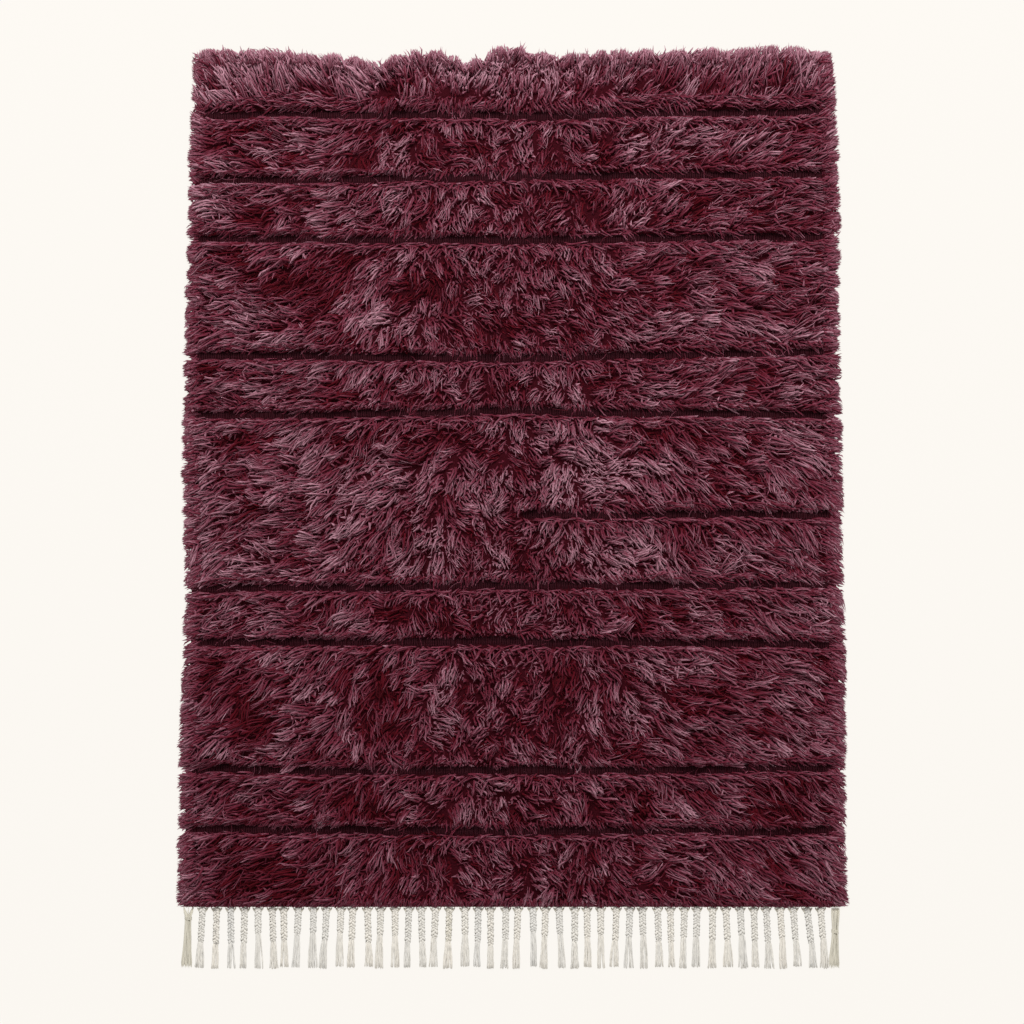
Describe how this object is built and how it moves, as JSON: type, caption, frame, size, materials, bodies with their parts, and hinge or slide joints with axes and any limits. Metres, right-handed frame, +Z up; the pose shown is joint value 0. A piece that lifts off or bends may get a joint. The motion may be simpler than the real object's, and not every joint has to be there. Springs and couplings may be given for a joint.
{
  "type": "beni ourain style shag rug",
  "caption": "Long-pile wool rug in plum, laid flat, with flat-woven furrows across the pile and a cream plaited warp fringe at one end.",
  "frame": {"origin": "under the middle of the rug with its fringe, on the surface that it lies on", "axes": "+X to the right, +Y towards the head of the rug, away from the fringe, +Z up through the pile"},
  "size_m": [1.4984, 2.1, 0.035],
  "materials": {
    "plum_wool": "long soft wool pile with a low sheen",
    "cream_warp": "matt undyed wool yarn"
  },
  "bodies": {
    "root": {"shag_field": "plum_wool", "warp_fringe": "cream_warp"}
  },
  "joints": []
}
